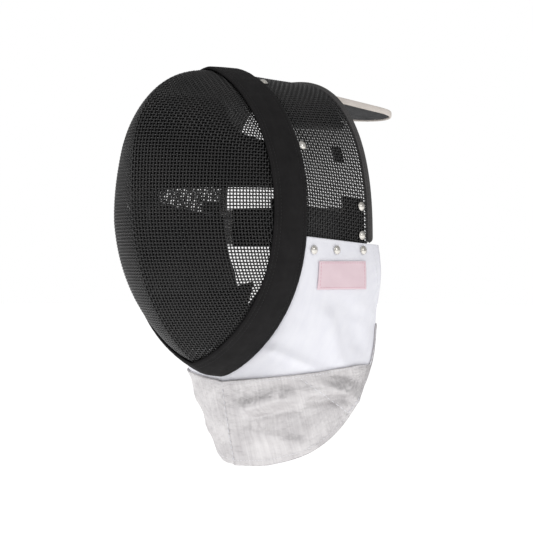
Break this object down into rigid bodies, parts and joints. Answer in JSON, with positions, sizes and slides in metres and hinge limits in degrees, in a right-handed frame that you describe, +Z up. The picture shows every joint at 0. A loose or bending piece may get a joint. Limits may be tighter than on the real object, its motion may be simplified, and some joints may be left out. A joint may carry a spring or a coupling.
{
  "type": "fencing mask",
  "caption": "Fencing mask: creased wire face and hood joined by a trim band, padded lining, rear strap, head spring and a cloth throat bib with a conductive lower part.",
  "frame": {"origin": "where the crown of the head meets the underside of the crown pad", "axes": "+Z up; -Y out through the face; +X the wearer's left side"},
  "size_m": [0.2078, 0.3359, 0.3705],
  "materials": {
    "wire_mesh": "satin",
    "band_cloth": "matte",
    "rim_binding": "matte",
    "black_padding": "matte",
    "grey_padding": "matte",
    "tab_cloth": "matte",
    "tongue_cloth": "matte",
    "cream_binding": "matte",
    "spring_steel": "brushed",
    "elastic": "ribbed",
    "white_cloth": "woven, soft sheen",
    "lame": "metallic thread, satin",
    "label_cloth": "woven",
    "nickel": "polished"
  },
  "bodies": {
    "root": {"face_mesh": "wire_mesh", "side_mesh": "wire_mesh", "trim_band": "band_cloth", "rear_rim": "rim_binding", "bib": "white_cloth", "bib_lame": "lame", "crown_pad": "black_padding", "brow_pad": "black_padding", "cheek_pad_left": "grey_padding", "cheek_pad_right": "grey_padding", "chin_pad": "black_padding", "tongue": "tongue_cloth", "tongue_binding": "cream_binding", "tongue_spring": "spring_steel", "strap_panel": "black_padding", "strap_elastic_right": "elastic", "strap_elastic_left": "elastic", "strap_anchor_left": "black_padding", "strap_anchor_right": "black_padding", "pad_tab_left": "tab_cloth", "pad_tab_right": "tab_cloth", "label_patch": "label_cloth", "rivet_crown_left": "nickel", "rivet_crown_right": "nickel", "rivet_temple_left": "nickel", "rivet_temple_right": "nickel", "rivet_strap_upper_left": "nickel", "rivet_strap_upper_right": "nickel", "rivet_strap_lower_left": "nickel", "rivet_strap_lower_right": "nickel", "rivet_bib_left_1": "nickel", "rivet_bib_right_1": "nickel", "rivet_bib_left_2": "nickel", "rivet_bib_right_2": "nickel", "rivet_bib_left_3": "nickel", "rivet_bib_right_3": "nickel"}
  },
  "joints": []
}
